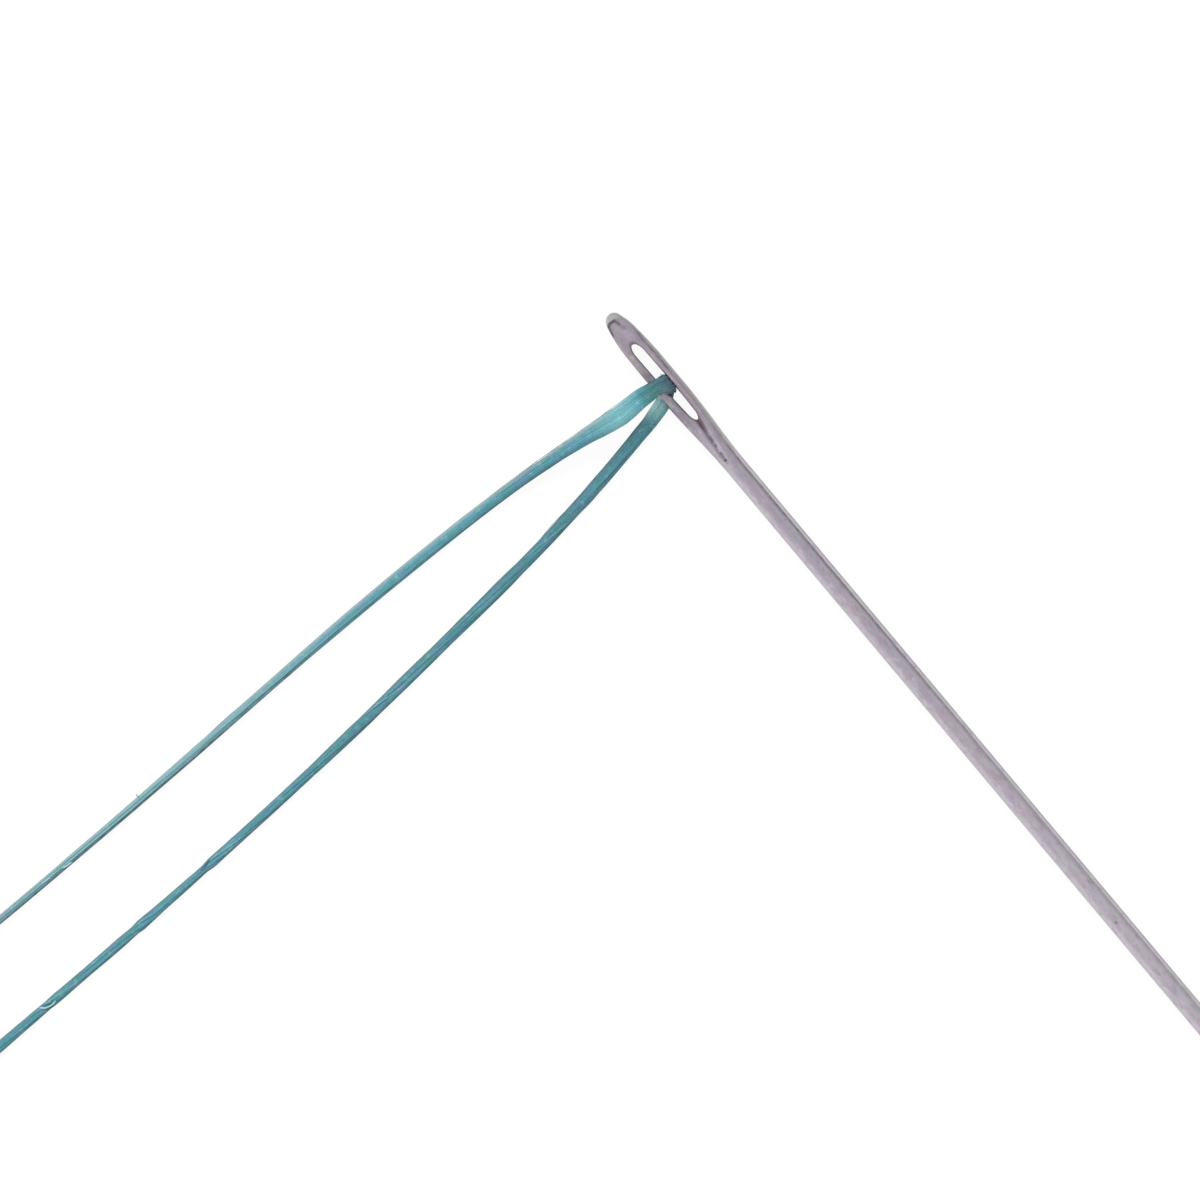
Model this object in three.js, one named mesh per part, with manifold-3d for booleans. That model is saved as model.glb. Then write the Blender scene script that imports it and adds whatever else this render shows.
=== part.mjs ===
// A beading needle with flat nylon thread through its eye, lying on a surface.
// Millimetres, +Z up. +X runs along the needle from the eye end to the point, and the origin
// is on the surface, below the middle of the needle.

import * as THREE from 'three';
import { mergeVertices } from 'three/addons/utils/BufferGeometryUtils.js';
import Module from 'manifold-3d';

// Needle. Places along it are measured from the eye end.
const needleLength = 55;
const shaftDiameter = 0.48;
const pointLength = 7;
const pointTipDiameter = 0.05;
const headWidth = 0.65;
const headThickness = 0.32;
const headFlatness = 2.8; // exponent of the stamped section: 2 is an ellipse, more is squarer
const noseLength = 1.5; // from the eye end to the widest place of the head
const noseBluntness = 0.3;
const headBlendStart = 2.3; // the stamped head fades into the round shaft between these places
const headBlendEnd = 4.5;
const needleSides = 20;

// Eye: a slot punched through the head. On each face a narrow pressed gutter leads from it
// towards the shaft.
const eyeStart = 0.86;
const eyeLength = 2.24;
const eyeWidth = 0.235;
const eyeNoseEndLength = 0.27; // each end of the slot is half an ellipse of its own length
const eyeShaftEndLength = 0.7;
const gutterStart = 1.4; // inside the eye
const gutterEnd = 4.25;
const gutterWidth = 0.1;
const gutterDepth = 0.05;

// Thread: flat, soft, squeezed to a narrow bundle where it passes the eye
const threadWidth = 0.3;
const threadThickness = 0.14;
const eyeBundleWidth = 0.16;
const eyeThreadPlace = 1.26; // along the eye, from its end near the nose
const threadBendRadius = 0.14;
const bundleSpread = 0.9; // distance from the eye at which the bundle is flat again
const threadClearance = 0.03; // to the needle above and below the rim
const threadJoinGap = 0.05; // between stretches of the same thread
const threadSides = 8;
const stepsPerRoutePoint = 2;

// The short end leaves over the rim and comes down to the surface between these distances
const descentStart = 1.1;
const descentEnd = 5.2;

// Coil of the working end: two layers of loops, held by one wrap of the same thread
const coilLoopsPerLayer = 6;
const coilInnerRadius = 2.9;
const coilGap = 0.46; // between neighbouring loops
const coilStepsPerLoop = 24;
const coilSides = 6;
const tieAngle = 285; // degrees round the coil, from +X
const tieHumpFlat = 14; // degrees each side of the tie where the loops lie on it
const tieHumpEnd = 42; // degrees each side of the tie where they are down again
const tieClearance = 0.05;
const tieOverlap = 1.6; // how far the wrap runs on past its own start
const tieLean = 0.86; // how far it moves aside from end to end
const tieSteps = 44;

// Routes of the two stretches on the surface, as x and y from the thread's place in the eye
const shortEndRoute = [
  [-0.13, -0.3], [-0.2, -0.7], [-0.22, -1.28], [-0.36, -2.2], [-0.5, -3.4], [-0.6, -5],
  [-0.65, -7], [-0.66, -9], [-0.62, -11.5], [-0.55, -14], [-0.5, -16.5], [-0.49, -19.3],
  [-0.54, -23], [-0.82, -27.5], [-1.65, -32],
];
const workingEndRoute = [
  [0.15, -0.3], [0.28, -0.76], [0.36, -1.18], [0.51, -1.9], [0.72, -3.25], [0.9, -4.6],
  [1.04, -6], [1.2, -8], [1.35, -10], [1.5, -12.5], [1.6, -15], [1.66, -17.5],
  [1.69, -20], [1.72, -23.5], [1.73, -27.5], [1.73, -32],
];

const shaftRadius = shaftDiameter / 2;
const bundlePlace = eyeStart + eyeThreadPlace;
const contactPlace = needleLength - pointLength;

// The working end runs under the head, so the needle rests on its shaft and leans on the thread
const headHeight = threadThickness + threadClearance + headThickness / 2;
const upperThreadHeight = headHeight + headThickness / 2 + threadClearance + threadThickness / 2;
const lowerThreadHeight = threadThickness / 2;
const needleTilt = Math.asin((headHeight - shaftRadius) / (contactPlace - bundlePlace));

const smoothstep = THREE.MathUtils.smoothstep;
const lerp = THREE.MathUtils.lerp;

// A closed skin over rings of equal counts, ending in one point at each end
function loft(rings, startPoint, endPoint) {
  const count = rings[0].length;
  const points = [...rings.flat(), startPoint, endPoint];
  const startIndex = points.length - 2;
  const endIndex = points.length - 1;
  const lastRing = (rings.length - 1) * count;
  const triangles = [];
  for (let side = 0; side < count; side++) {
    const next = (side + 1) % count;
    triangles.push(startIndex, next, side);
    for (let base = 0; base < lastRing; base += count) {
      const above = base + count;
      triangles.push(base + side, base + next, above + side);
      triangles.push(base + next, above + next, above + side);
    }
    triangles.push(endIndex, lastRing + side, lastRing + next);
  }
  const geometry = new THREE.BufferGeometry().setFromPoints(points);
  geometry.setIndex(triangles);
  geometry.computeVertexNormals();
  return geometry;
}

// Points of a section with a flat side below, as pairs across and up that reach 1 each way
function unitSection(sides, exponent) {
  const power = 2 / exponent;
  const pairs = [];
  for (let side = 0; side < sides; side++) {
    const angle = ((side + 0.5) / sides) * 2 * Math.PI - Math.PI / 2;
    const across = Math.cos(angle);
    const up = Math.sin(angle);
    pairs.push([Math.sign(across) * Math.abs(across) ** power, Math.sign(up) * Math.abs(up) ** power]);
  }
  const mostAcross = Math.max(...pairs.map((pair) => pair[0]));
  const mostUp = Math.max(...pairs.map((pair) => pair[1]));
  return pairs.map(([across, up]) => [across / mostAcross, up / mostUp]);
}

// How far the stamped head has faded into the shaft at a place along the needle, from 0 to 1
function headFade(place) {
  return smoothstep(place, headBlendStart, headBlendEnd);
}

function noseFactor(place) {
  const left = 1 - Math.min(place / noseLength, 1);
  return (1 - left * left) ** noseBluntness;
}

function pointFactor(place) {
  const along = Math.max(place - contactPlace, 0) / pointLength;
  return lerp(1, pointTipDiameter / shaftDiameter, along ** 1.25);
}

function needleRing(place) {
  const fade = headFade(place);
  const ends = noseFactor(place) * pointFactor(place);
  const halfWidth = lerp(headWidth / 2, shaftRadius, fade) * ends;
  const halfThickness = lerp(headThickness / 2, shaftRadius, fade) * ends;
  const section = unitSection(needleSides, lerp(headFlatness, 2, fade));
  return section.map(
    ([across, up]) => new THREE.Vector3(place, across * halfWidth, up * halfThickness),
  );
}

// Places of rings: close together on the nose, the head's fade and the point
function needlePlaces() {
  const nose = [0.02, 0.06, 0.14, 0.28, 0.5, 0.75].map((share) => share * noseLength);
  const places = [...nose, noseLength];
  const fadeRings = 6;
  for (let ring = 0; ring <= fadeRings; ring++) {
    places.push(lerp(headBlendStart, headBlendEnd, ring / fadeRings));
  }
  const pointRings = 6;
  for (let ring = 0; ring <= pointRings; ring++) {
    places.push(lerp(contactPlace, needleLength - pointTipDiameter / 2, ring / pointRings));
  }
  return places;
}

function eyeSlot() {
  const straightStart = eyeStart + eyeNoseEndLength;
  const straightEnd = eyeStart + eyeLength - eyeShaftEndLength;
  const halfWidth = eyeWidth / 2;
  const quarter = Math.PI / 2;
  const outline = new THREE.Shape();
  outline.moveTo(straightStart, halfWidth);
  outline.absellipse(straightStart, 0, eyeNoseEndLength, halfWidth, quarter, 3 * quarter);
  outline.absellipse(straightEnd, 0, eyeShaftEndLength, halfWidth, -quarter, quarter);
  outline.closePath();
  const depth = 2 * headThickness;
  const slot = new THREE.ExtrudeGeometry(outline, { depth, bevelEnabled: false, curveSegments: 8 });
  return slot.translate(0, 0, -depth / 2);
}

// A long boat that cuts a groove of the gutter's width and depth into one face of the head
function gutter(side) {
  const deepest = headThickness / 2 - gutterDepth;
  const boatDepth = shaftRadius - deepest;
  const faceShare = (shaftRadius - headThickness / 2) / boatDepth;
  const boatHalfWidth = gutterWidth / 2 / Math.sqrt(1 - faceShare * faceShare);
  const boat = new THREE.SphereGeometry(1, 16, 14).rotateZ(Math.PI / 2);
  boat.scale((gutterEnd - gutterStart) / 2, boatHalfWidth, boatDepth);
  return boat.translate((gutterStart + gutterEnd) / 2, 0, side * shaftRadius);
}

const wasm = await Module();
wasm.setup();

function solidOf(geometry) {
  const bare = new THREE.BufferGeometry();
  bare.setAttribute('position', geometry.getAttribute('position'));
  bare.setIndex(geometry.getIndex());
  const merged = mergeVertices(bare, 1e-5);
  const index = merged.getIndex().array;
  const triVerts = [];
  for (let corner = 0; corner < index.length; corner += 3) {
    const [a, b, c] = index.slice(corner, corner + 3);
    if (a !== b && b !== c && c !== a) triVerts.push(a, b, c);
  }
  return new wasm.Manifold(new wasm.Mesh({
    numProp: 3,
    vertProperties: new Float32Array(merged.getAttribute('position').array),
    triVerts: new Uint32Array(triVerts),
  }));
}

function geometryOf(solid) {
  const mesh = solid.getMesh();
  const geometry = new THREE.BufferGeometry();
  geometry.setAttribute('position', new THREE.BufferAttribute(mesh.vertProperties, 3));
  geometry.setIndex(new THREE.BufferAttribute(mesh.triVerts, 1));
  geometry.computeVertexNormals();
  return geometry;
}

function needleGeometry() {
  const tips = [new THREE.Vector3(0, 0, 0), new THREE.Vector3(needleLength, 0, 0)];
  const blank = solidOf(loft(needlePlaces().map(needleRing), ...tips));
  const grooved = blank.subtract(solidOf(gutter(1))).subtract(solidOf(gutter(-1)));
  return geometryOf(grooved.subtract(solidOf(eyeSlot())));
}

// A flat tube along centre points, whose width lies across the direction given for each
function threadTube(centres, halfWidths, sides, acrossAt) {
  const section = unitSection(sides, 2);
  const rings = centres.map((centre, index) => {
    const before = centres[Math.max(index - 1, 0)];
    const after = centres[Math.min(index + 1, centres.length - 1)];
    const forward = after.clone().sub(before).normalize();
    const across = acrossAt(forward);
    across.addScaledVector(forward, -across.dot(forward)).normalize();
    const up = forward.clone().cross(across);
    return section.map(([sideways, upward]) => centre.clone()
      .addScaledVector(across, sideways * halfWidths[index])
      .addScaledVector(up, upward * threadThickness / 2));
  });
  return loft(rings, centres[0], centres[centres.length - 1]);
}

// Level, to the left of a direction, so that the thread lies flat
function levelAcross(forward) {
  return new THREE.Vector3(-forward.y, forward.x, 0);
}

// Centre points of a stretch that leaves the eye up or down, bends over the rim and lies down
function stretchCentres(route, direction, heightAt) {
  const rimHeight = heightAt(0);
  const heading = new THREE.Vector2(...route[0]).normalize();
  const points = [new THREE.Vector3(0, 0, headHeight + direction * threadJoinGap / 2)];
  const bendSteps = 4;
  for (let step = 0; step <= bendSteps; step++) {
    const angle = (step / bendSteps) * (Math.PI / 2);
    const out = threadBendRadius * (1 - Math.cos(angle));
    const height = rimHeight - direction * threadBendRadius * (1 - Math.sin(angle));
    points.push(new THREE.Vector3(heading.x * out, heading.y * out, height));
  }
  for (const [x, y] of route) {
    points.push(new THREE.Vector3(x, y, heightAt(Math.hypot(x, y))));
  }
  const curve = new THREE.CatmullRomCurve3(points, false, 'centripetal');
  const centres = curve.getPoints((points.length - 1) * stepsPerRoutePoint);
  for (const centre of centres) centre.z = Math.max(centre.z, lowerThreadHeight);
  return centres;
}

function stretchGeometry(centres, route) {
  const heading = new THREE.Vector3(...route[0], 0);
  const halfWidths = centres.map((centre) => {
    const spread = smoothstep(Math.hypot(centre.x, centre.y), threadBendRadius, bundleSpread);
    return lerp(eyeBundleWidth, threadWidth, spread) / 2;
  });
  const upright = 0.999;
  const acrossAt = (forward) => levelAcross(Math.abs(forward.z) > upright ? heading : forward);
  return threadTube(centres, halfWidths, threadSides, acrossAt);
}

function shortEndHeight(distance) {
  const down = smoothstep(distance, descentStart, descentEnd);
  return lerp(upperThreadHeight, lowerThreadHeight, down);
}

const shortEndCentres = stretchCentres(shortEndRoute, 1, shortEndHeight);
const workingEndCentres = stretchCentres(workingEndRoute, -1, () => lowerThreadHeight);

// Coil: the working end goes on into its outer loop, winds inwards, climbs and winds out again
const coilPitch = threadWidth + coilGap;
const layerPitch = threadThickness + coilGap;
const coilOuterRadius = coilInnerRadius + coilLoopsPerLayer * coilPitch;
const [coilStartX, coilStartY] = workingEndRoute[workingEndRoute.length - 1];
const coilLead = threadWidth; // each end runs straight for this length
const coilCentre = new THREE.Vector2(
  coilStartX + coilOuterRadius,
  coilStartY - threadJoinGap - coilLead,
);
const humpHeight = threadThickness + tieClearance;

// 1 where the loops lie on the tie, 0 where they lie on the surface
function humpAt(degrees) {
  const away = Math.abs(((degrees - tieAngle + 540) % 360) - 180);
  return 1 - smoothstep(away, tieHumpFlat, tieHumpEnd);
}

function coilPoint(turns) {
  const angle = Math.PI + turns * 2 * Math.PI;
  const climb = smoothstep(turns, coilLoopsPerLayer - 0.25, coilLoopsPerLayer + 0.25);
  const radius = coilInnerRadius + Math.abs(coilLoopsPerLayer - turns) * coilPitch;
  const hump = humpHeight * humpAt(THREE.MathUtils.radToDeg(angle));
  return new THREE.Vector3(
    coilCentre.x + radius * Math.cos(angle),
    coilCentre.y + radius * Math.sin(angle),
    lowerThreadHeight + climb * layerPitch + hump,
  );
}

function coilCentres() {
  const steps = 2 * coilLoopsPerLayer * coilStepsPerLoop;
  const centres = [];
  for (let step = 0; step <= steps; step++) centres.push(coilPoint(step / coilStepsPerLoop));
  const first = centres[0].clone().add(new THREE.Vector3(0, coilLead, 0));
  const last = centres[steps].clone().add(new THREE.Vector3(0, -coilLead, 0));
  return [first, ...centres, last];
}

// Least gap of a thread to itself: points some steps apart, less the flat section's own size
function leastGap(centres, stepsApart) {
  let least = Infinity;
  for (let one = 0; one < centres.length; one++) {
    for (let other = one + stepsApart; other < centres.length; other++) {
      const level = Math.hypot(centres[one].x - centres[other].x, centres[one].y - centres[other].y);
      const height = Math.abs(centres[one].z - centres[other].z);
      const sideGap = Math.max(level - threadWidth, 0);
      const heightGap = Math.max(height - threadThickness, 0);
      least = Math.min(least, Math.hypot(sideGap, heightGap));
    }
  }
  return least;
}

function coilGeometry(centres) {
  const halfWidths = centres.map(() => threadWidth / 2);
  return threadTube(centres, halfWidths, coilSides, levelAcross);
}

// Tie: one flat wrap round all the loops, in the upright plane through the coil's centre
function tieProfile() {
  const reach = (coilLoopsPerLayer * coilPitch + threadWidth) / 2 + tieClearance;
  const halfHeight = (humpHeight + layerPitch + threadThickness + tieClearance) / 2;
  const middle = lowerThreadHeight + halfHeight;
  const top = middle + halfHeight;
  const bottom = middle - halfHeight;
  const quarter = Math.PI / 2;
  const at = (along, height) => new THREE.Vector2(along, height);
  const profile = new THREE.CurvePath();
  profile.add(new THREE.LineCurve(at(0, top), at(reach, top)));
  profile.add(new THREE.EllipseCurve(reach, middle, halfHeight, halfHeight, quarter, -quarter, true));
  profile.add(new THREE.LineCurve(at(reach, bottom), at(-reach, bottom)));
  profile.add(new THREE.EllipseCurve(-reach, middle, halfHeight, halfHeight, -quarter, -3 * quarter, true));
  profile.add(new THREE.LineCurve(at(-reach, top), at(tieOverlap, top)));
  return profile;
}

const tieTurn = THREE.MathUtils.degToRad(tieAngle);
const tieOutward = new THREE.Vector3(Math.cos(tieTurn), Math.sin(tieTurn), 0);
const tieAside = new THREE.Vector3(-tieOutward.y, tieOutward.x, 0);

function tieCentres() {
  const middleRadius = coilInnerRadius + (coilLoopsPerLayer * coilPitch) / 2;
  return tieProfile().getSpacedPoints(tieSteps).map((point, index) => {
    const aside = tieLean * (index / tieSteps - 0.5);
    return new THREE.Vector3(coilCentre.x, coilCentre.y, point.y)
      .addScaledVector(tieOutward, middleRadius + point.x)
      .addScaledVector(tieAside, aside);
  });
}

function tieGeometry(centres) {
  const halfWidths = centres.map(() => threadWidth / 2);
  return threadTube(centres, halfWidths, threadSides, () => tieAside.clone());
}

const nickelSteel = new THREE.MeshStandardMaterial({ color: 0xa8a1aa, roughness: 0.35, metalness: 0.9 });
const tealNylon = new THREE.MeshStandardMaterial({ color: 0x4f96a4, roughness: 0.6, metalness: 0 });

function piece(name, geometry, material) {
  const mesh = new THREE.Mesh(geometry, material);
  mesh.name = name;
  return mesh;
}

const needle = piece('needle', needleGeometry(), nickelSteel);
needle.rotation.y = needleTilt;
needle.position.set(-needleLength / 2, 0, headHeight + bundlePlace * Math.sin(needleTilt));

const coilLine = coilCentres();
const tieLine = tieCentres();
const coilLeast = leastGap(coilLine, coilStepsPerLoop / 2);
const tieLeast = leastGap(tieLine, tieSteps / 2);
console.log(`thread_coil least gap to itself: ${coilLeast.toFixed(3)} mm`);
console.log(`coil_tie least gap to itself: ${tieLeast.toFixed(3)} mm`);

const thread = new THREE.Group();
thread.position.x = bundlePlace - needleLength / 2;
thread.add(piece('thread_short_end', stretchGeometry(shortEndCentres, shortEndRoute), tealNylon));
thread.add(piece('thread_working_end', stretchGeometry(workingEndCentres, workingEndRoute), tealNylon));
thread.add(piece('thread_coil', coilGeometry(coilLine), tealNylon));
thread.add(piece('coil_tie', tieGeometry(tieLine), tealNylon));

const beadingNeedle = new THREE.Group();
beadingNeedle.add(needle, thread);

export default beadingNeedle;
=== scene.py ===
import math

import bpy
import numpy as np
from mathutils import Matrix, Vector


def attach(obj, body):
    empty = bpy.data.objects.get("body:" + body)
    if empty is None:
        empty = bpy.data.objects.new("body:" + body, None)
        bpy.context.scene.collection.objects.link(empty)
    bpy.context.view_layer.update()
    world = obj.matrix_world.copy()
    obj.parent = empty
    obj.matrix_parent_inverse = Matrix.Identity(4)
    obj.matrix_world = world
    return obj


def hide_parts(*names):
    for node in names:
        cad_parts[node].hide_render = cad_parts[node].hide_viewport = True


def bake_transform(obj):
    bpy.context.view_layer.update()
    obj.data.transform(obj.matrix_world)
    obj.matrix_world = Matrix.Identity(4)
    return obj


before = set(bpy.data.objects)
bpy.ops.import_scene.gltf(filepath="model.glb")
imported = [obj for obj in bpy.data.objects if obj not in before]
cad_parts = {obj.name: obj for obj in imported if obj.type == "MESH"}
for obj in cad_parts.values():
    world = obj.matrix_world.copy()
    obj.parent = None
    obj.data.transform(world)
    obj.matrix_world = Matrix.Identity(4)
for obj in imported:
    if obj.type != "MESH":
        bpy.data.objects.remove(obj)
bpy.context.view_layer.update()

mm, metre = 0.001, 1000.0  # the lists below are in millimetres, the scene is in metres


# camera
view = {
    "centre": (-22.695, -4.294),  # what the middle of the picture looks at
    "across": (0.64283, 0.76600),  # the picture's right, on the floor
    "frame": 27.09,  # width of the picture
    "level": 0.3,  # the height at which it is that wide
    "lens": 150.0,
    "sensor": 36.0,
    "clip": (0.005, 10.0),  # in metres
}


def makeCamera():
    lens = bpy.data.cameras.new("photoCamera")
    lens.lens, lens.sensor_width = view["lens"], view["sensor"]
    lens.clip_start, lens.clip_end = view["clip"]
    camera = bpy.data.objects.new("photoCamera", lens)
    height = view["frame"] * view["lens"] / view["sensor"] + view["level"]
    right = Vector((*view["across"], 0.0)).normalized()
    up = Vector((0, 0, 1)).cross(right)
    turn = Matrix((right, up, Vector((0, 0, 1)))).transposed().to_4x4()
    place = Vector((*view["centre"], height)) * mm
    camera.matrix_world = Matrix.Translation(place) @ turn
    bpy.context.scene.collection.objects.link(camera)
    bpy.context.scene.camera = camera


makeCamera()
print("camera: straight above the eye")


# node helpers
def operator(operation, swapped=False):  # a method that adds one node to the sum
    def act(self, other=0.0):
        one, two = (other, self) if swapped else (self, other)
        return self.sums(operation, one, two)

    return act


class Sock:  # a node socket that can stand in a sum
    def __init__(self, tree, socket=None):
        self.tree, self.socket = tree, socket

    def node(self, kind, settings=None, sockets=None, out=0):  # any node: settings, then sockets
        made = self.tree.nodes.new(kind)
        for name, value in (settings or {}).items():
            if name == "stops":
                setStops(made.color_ramp, value)
            else:
                setattr(made, name, value)
        for name, value in (sockets or {}).items():
            self.plug(made.inputs[name], value)
        return Sock(self.tree, made.outputs[out] if len(made.outputs) else None)

    def plug(self, socket, value):
        if isinstance(value, list):
            for one in value:
                self.tree.links.new(one.socket, socket)
        elif isinstance(value, Sock):
            self.tree.links.new(value.socket, socket)
        elif socket.type == "RGBA":
            socket.default_value = (*value[:3], 1.0)
        else:
            socket.default_value = value

    def of(self, name):  # another output of the same node
        return Sock(self.tree, self.socket.node.outputs[name])

    def sums(self, operation, one, other=0.0):
        both = [one, other]
        if any(isinstance(v, Sock) and v.socket.type == "VECTOR" for v in both):
            both = [v if isinstance(v, (Sock, tuple)) else (v, v, v) for v in both]
            kind = "ShaderNodeVectorMath"
        else:
            kind = "ShaderNodeMath"
        return self.node(kind, {"operation": operation}, dict(enumerate(both)))

    __add__, __radd__ = operator("ADD"), operator("ADD", True)
    __sub__, __rsub__ = operator("SUBTRACT"), operator("SUBTRACT", True)
    __mul__, __rmul__ = operator("MULTIPLY"), operator("MULTIPLY", True)
    __truediv__, __rtruediv__ = operator("DIVIDE"), operator("DIVIDE", True)
    __pow__, __gt__, __lt__ = operator("POWER"), operator("GREATER_THAN"), operator("LESS_THAN")
    __abs__, sin, cos = operator("ABSOLUTE"), operator("SINE"), operator("COSINE")
    least, most = operator("MINIMUM"), operator("MAXIMUM")

    def step(self, low, high):  # 0 below low, 1 above high, smooth between
        settings = {"interpolation_type": "SMOOTHSTEP"}
        return self.node("ShaderNodeMapRange", settings, {"Value": self, "From Min": low, "From Max": high})

    def bell(self, width):  # 1 at zero, 0 past width on both sides
        return 1 - abs(self).step(0.0, width)

    def parts(self):  # x, y and z of a vector
        split = self.node("ShaderNodeSeparateXYZ", None, {0: self})
        return split, split.of("Y"), split.of("Z")

    def vector(self, x, y, z):
        return self.node("ShaderNodeCombineXYZ", None, {0: x, 1: y, 2: z})

    def noise(self, place, scale, detail=2.0, roughness=0.5):
        sockets = {"Vector": place, "Scale": scale, "Detail": detail, "Roughness": roughness}
        return self.node("ShaderNodeTexNoise", None, sockets, "Fac")

    def blend(self, factor, one, other):  # two colours
        return self.node("ShaderNodeMix", {"data_type": "RGBA"}, {0: factor, 6: one, 7: other}, 2)

    def position(self):
        return self.node("GeometryNodeInputPosition")

    def named(self, label, kind="FLOAT"):  # a value that the points carry
        return self.node("GeometryNodeInputNamedAttribute", {"data_type": kind}, {"Name": label})

    def store(self, geometry, label, value, kind="FLOAT"):
        settings = {"data_type": kind, "domain": "POINT"}
        sockets = {"Geometry": geometry, "Name": label, "Value": value}
        return self.node("GeometryNodeStoreNamedAttribute", settings, sockets)

    def move(self, geometry, sockets):  # by an Offset or to a Position
        return self.node("GeometryNodeSetPosition", None, {"Geometry": geometry, **sockets})


def near(x, y, spot, width, squeeze=1.0):  # 1 at a spot, 0 past width from it
    return (((x - spot[0]) ** 2.0 * squeeze + (y - spot[1]) ** 2.0) ** 0.5).bell(width)


def setStops(ramp, stops):
    while len(ramp.elements) < len(stops):
        ramp.elements.new(1.0)
    for element, (place, colour) in zip(ramp.elements, stops):
        element.position, element.color = place, (*colour, 1.0)


def newMaterial(name, constants):
    material = bpy.data.materials.new(name)
    material.use_nodes = True
    shader = material.node_tree.nodes["Principled BSDF"]
    for socket, value in constants.items():
        shader.inputs[socket].default_value = value
    return material, Sock(material.node_tree), shader


def newTree(name, inputs):
    tree = bpy.data.node_groups.new(name, "GeometryNodeTree")
    tree.is_modifier = True
    for label, kind in {"Geometry": "Geometry", **inputs}.items():
        tree.interface.new_socket(label, in_out="INPUT", socket_type="NodeSocket" + kind)
    tree.interface.new_socket("Geometry", in_out="OUTPUT", socket_type="NodeSocketGeometry")
    entry = tree.nodes.new("NodeGroupInput")
    return tree, Sock(tree), {s.name: Sock(tree, s) for s in entry.outputs if s.name}


def endTree(maker, geometry, material):  # what every tree ends in
    smooth = maker.node("GeometryNodeSetShadeSmooth", None, {"Geometry": geometry})
    real = maker.node("GeometryNodeRealizeInstances", None, {"Geometry": smooth})
    shown = maker.node("GeometryNodeSetMaterial", None, {"Geometry": real, "Material": material})
    maker.node("NodeGroupOutput", None, {"Geometry": shown})


def runTree(name, mesh, tree, values):  # the tree's result as a plain mesh object
    piece = bpy.data.objects.new(name, mesh)
    bpy.context.scene.collection.objects.link(piece)
    modifier = piece.modifiers.new(tree.name, "NODES")
    modifier.node_group = tree
    sockets = {s.name: s.identifier for s in tree.interface.items_tree if s.in_out == "INPUT"}
    for label, value in values.items():
        modifier[sockets[label]] = value
    graph = bpy.context.evaluated_depsgraph_get()
    shape = bpy.data.meshes.new_from_object(
        piece.evaluated_get(graph), preserve_all_data_layers=True, depsgraph=graph
    )
    piece.modifiers.clear()
    piece.data = shape
    return piece


def lineMesh(name, points, values):  # a row of joined points that carries named values
    mesh = bpy.data.meshes.new(name)
    mesh.from_pydata([tuple(p) for p in points], [(i, i + 1) for i in range(len(points) - 1)], [])
    for label, rows in values.items():
        rows = np.asarray(rows, np.float32)
        isVector = rows.ndim == 2
        kept = mesh.attributes.new(label, "FLOAT_VECTOR" if isVector else "FLOAT", "POINT")
        kept.data.foreach_set("vector" if isVector else "value", rows.ravel())
    return mesh


def fade(value, low, high):  # 0 below low, 1 above high, smooth between
    share = np.clip((np.asarray(value, float) - low) / (high - low), 0, 1)
    return share * share * (3 - 2 * share)


# thread: the nylon's colours
nylon = {
    "shades": [  # from strands in the shade to strands that catch the light
        (0.00, (0.070, 0.245, 0.325)),
        (0.35, (0.100, 0.345, 0.425)),
        (0.65, (0.130, 0.410, 0.470)),
        (1.00, (0.260, 0.580, 0.600)),
    ],
    "green": (0.095, 0.390, 0.350),
    "blue": (0.130, 0.370, 0.500),
    "violet": (0.165, 0.325, 0.470),
    "pale": (0.420, 0.620, 0.640),
    "bright": (0.550, 0.820, 0.860),
    "fluff": (0.420, 0.400, 0.390),
    "dark": (0.030, 0.065, 0.100),
    "dyeAndEyeShade": (0.065, 0.112, 0.150),  # painted shade in the eye, and the working end's darker dye
    "pressed": (0.068, 0.250, 0.215),  # where it bends over the rim
    "pressedAt": (-25.50, -0.34),
    "rimHighlight": (0.570, 0.960, 0.930),  # painted highlight where it comes out from under the rim
    "rimHighlightAt": (-25.28, -0.49),
    "spread": (0.240, 0.765, 0.810),  # where it lies flat and wide
    "spreadAt": (-25.64, -1.25),
}


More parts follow.
